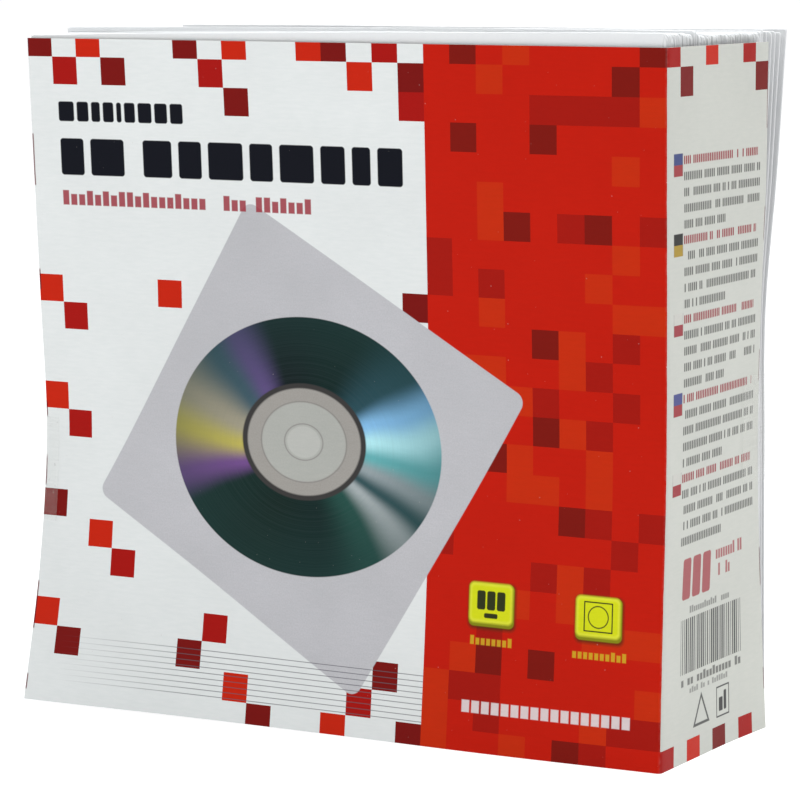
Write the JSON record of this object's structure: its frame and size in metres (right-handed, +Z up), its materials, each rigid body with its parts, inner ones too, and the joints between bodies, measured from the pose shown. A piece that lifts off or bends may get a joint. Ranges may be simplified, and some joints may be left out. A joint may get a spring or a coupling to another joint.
{
  "type": "cd sleeve multipack",
  "caption": "Upright pack of paper disc envelopes with round windows, wrapped front and right side by a folded printed card and held by one strip of clear tape.",
  "frame": {"origin": "middle of the bottom of the whole pack's box, on the surface that the pack stands on", "axes": "+Z up, +X to the right and +Y to the rear, so the printed front faces -Y and the card's side panel is on the +X side"},
  "size_m": [0.1308, 0.0622, 0.1248],
  "materials": {
    "printed_card": "coated, white and red print",
    "envelope_paper": "matte white",
    "window_film": "clear film",
    "clear_tape": "clear adhesive tape"
  },
  "bodies": {
    "root": {"card_wrap": "printed_card", "envelope_001": "envelope_paper", "envelope_001_window_film": "window_film", "envelope_002": "envelope_paper", "envelope_003": "envelope_paper", "envelope_004": "envelope_paper", "envelope_005": "envelope_paper", "envelope_006": "envelope_paper", "envelope_007": "envelope_paper", "envelope_008": "envelope_paper", "envelope_009": "envelope_paper", "envelope_010": "envelope_paper", "envelope_011": "envelope_paper", "envelope_012": "envelope_paper", "envelope_013": "envelope_paper", "envelope_014": "envelope_paper", "envelope_015": "envelope_paper", "envelope_016": "envelope_paper", "envelope_017": "envelope_paper", "envelope_018": "envelope_paper", "envelope_019": "envelope_paper", "envelope_020": "envelope_paper", "envelope_021": "envelope_paper", "envelope_022": "envelope_paper", "envelope_023": "envelope_paper", "envelope_024": "envelope_paper", "envelope_025": "envelope_paper", "envelope_026": "envelope_paper", "envelope_027": "envelope_paper", "envelope_073": "envelope_paper", "envelope_074": "envelope_paper", "envelope_075": "envelope_paper", "envelope_076": "envelope_paper", "envelope_077": "envelope_paper", "envelope_078": "envelope_paper", "envelope_079": "envelope_paper", "envelope_080": "envelope_paper", "envelope_081": "envelope_paper", "envelope_082": "envelope_paper", "envelope_083": "envelope_paper", "envelope_084": "envelope_paper", "envelope_085": "envelope_paper", "envelope_086": "envelope_paper", "envelope_087": "envelope_paper", "envelope_088": "envelope_paper", "envelope_089": "envelope_paper", "envelope_090": "envelope_paper", "envelope_091": "envelope_paper", "envelope_092": "envelope_paper", "envelope_093": "envelope_paper", "envelope_094": "envelope_paper", "envelope_095": "envelope_paper", "envelope_096": "envelope_paper", "envelope_097": "envelope_paper", "envelope_098": "envelope_paper", "envelope_099": "envelope_paper", "envelope_100": "envelope_paper", "envelope_100_window_film": "window_film", "envelope_block_028_to_072": "envelope_paper", "tape_strip": "clear_tape"}
  },
  "joints": []
}
